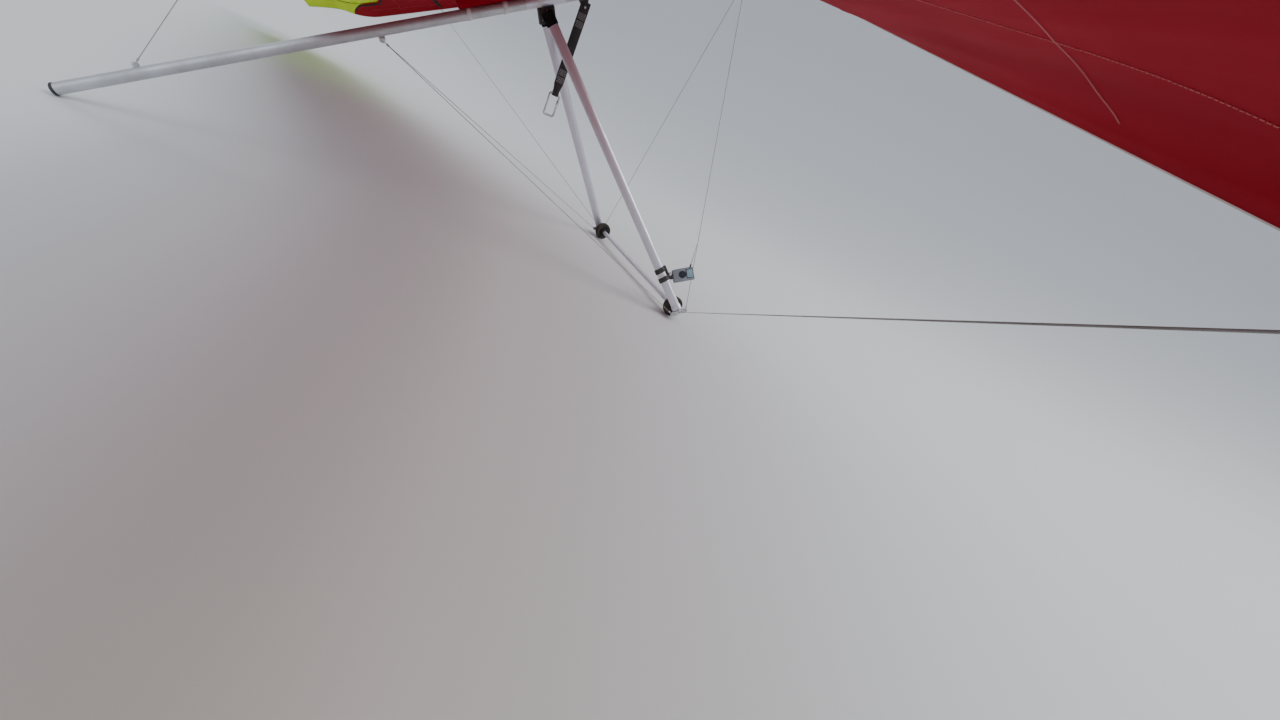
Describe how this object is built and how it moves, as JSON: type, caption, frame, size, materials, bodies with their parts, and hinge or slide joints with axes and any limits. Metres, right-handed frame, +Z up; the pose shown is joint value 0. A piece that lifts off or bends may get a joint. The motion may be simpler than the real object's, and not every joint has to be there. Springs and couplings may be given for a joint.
{
  "type": "hang glider",
  "caption": "Kingposted double-surface flex-wing glider parked tail down on base-bar wheels and keel end, with rigging and a swinging hang strap.",
  "frame": {"origin": "centre of the bounding box on the floor that the wheels and the keel end stand on", "axes": "+X forward, +Y to port along the span, +Z up"},
  "size_m": [3.202, 10.06, 2.2139],
  "materials": {
    "bare_aluminium": "bare drawn tube, lightly scuffed",
    "anodised_tube": "satin pale anodised",
    "black_plastic": "moulded, matt",
    "steel_fittings": "stainless plate, brushed",
    "rigging_wire": "stranded wire under a clear coat",
    "red_sailcloth": "woven polyester sailcloth",
    "lime_sailcloth": "woven polyester sailcloth",
    "white_sailcloth": "laminated sailcloth",
    "black_webbing": "woven webbing",
    "black_rubber": "moulded, dusty",
    "grey_case": "moulded, satin",
    "white_probe": "moulded, satin"
  },
  "bodies": {
    "airframe": {"keel_tube": "bare_aluminium", "base_bar": "anodised_tube", "kingpost": "anodised_tube", "downtube_port": "anodised_tube", "downtube_starboard": "anodised_tube", "keel_end_cap": "black_plastic", "nose_block": "black_plastic", "apex_bracket": "black_plastic", "kingpost_cap": "black_plastic", "instrument_clamp": "black_plastic", "instrument_arm": "black_plastic", "downtube_cover_port": "black_plastic", "downtube_cover_starboard": "black_plastic", "bar_collar_port": "black_plastic", "bar_collar_starboard": "black_plastic", "nose_plate": "steel_fittings", "nose_tang": "steel_fittings", "rear_tang": "steel_fittings", "upper_rear_tang": "steel_fittings", "kingpost_foot": "steel_fittings", "corner_bracket_port": "steel_fittings", "corner_bracket_starboard": "steel_fittings", "side_tang_port": "steel_fittings", "side_tang_starboard": "steel_fittings", "upper_front_wire": "rigging_wire", "upper_rear_wire": "rigging_wire", "front_wire_port": "rigging_wire", "front_wire_starboard": "rigging_wire", "rear_wire_port": "rigging_wire", "rear_wire_starboard": "rigging_wire", "side_wire_port": "rigging_wire", "side_wire_starboard": "rigging_wire", "upper_side_wire_port": "rigging_wire", "upper_side_wire_starboard": "rigging_wire", "keel_pocket": "red_sailcloth", "sail_port": "red_sailcloth", "sail_starboard": "red_sailcloth", "sail_tip_port": "lime_sailcloth", "sail_tip_starboard": "lime_sailcloth", "nose_strip": "white_sailcloth", "nose_cone": "white_sailcloth", "hang_loop": "black_webbing", "instrument_case": "grey_case", "speed_probe": "white_probe"},
    "wheel_port": {"wheel_tyre_port": "black_rubber", "wheel_hub_port": "black_plastic"},
    "wheel_starboard": {"wheel_tyre_starboard": "black_rubber", "wheel_hub_starboard": "black_plastic"},
    "strap": {"hang_strap": "black_webbing", "carabiner": "steel_fittings"}
  },
  "joints": [
    {"name": "wheel_port_spin", "type": "hinge", "parent": "airframe", "child": "wheel_port", "pos_m": [1.52304, 0.625, 0.06], "axis": [0, 1, 0], "continuous": true},
    {"name": "wheel_starboard_spin", "type": "hinge", "parent": "airframe", "child": "wheel_starboard", "pos_m": [1.52304, -0.625, 0.06], "axis": [0, 1, 0], "continuous": true},
    {"name": "hang_strap_swing", "type": "hinge", "parent": "airframe", "child": "strap", "pos_m": [0.60549, 0, 1.21177], "axis": [0, 1, 0], "range_deg": [-60, 30]}
  ]
}
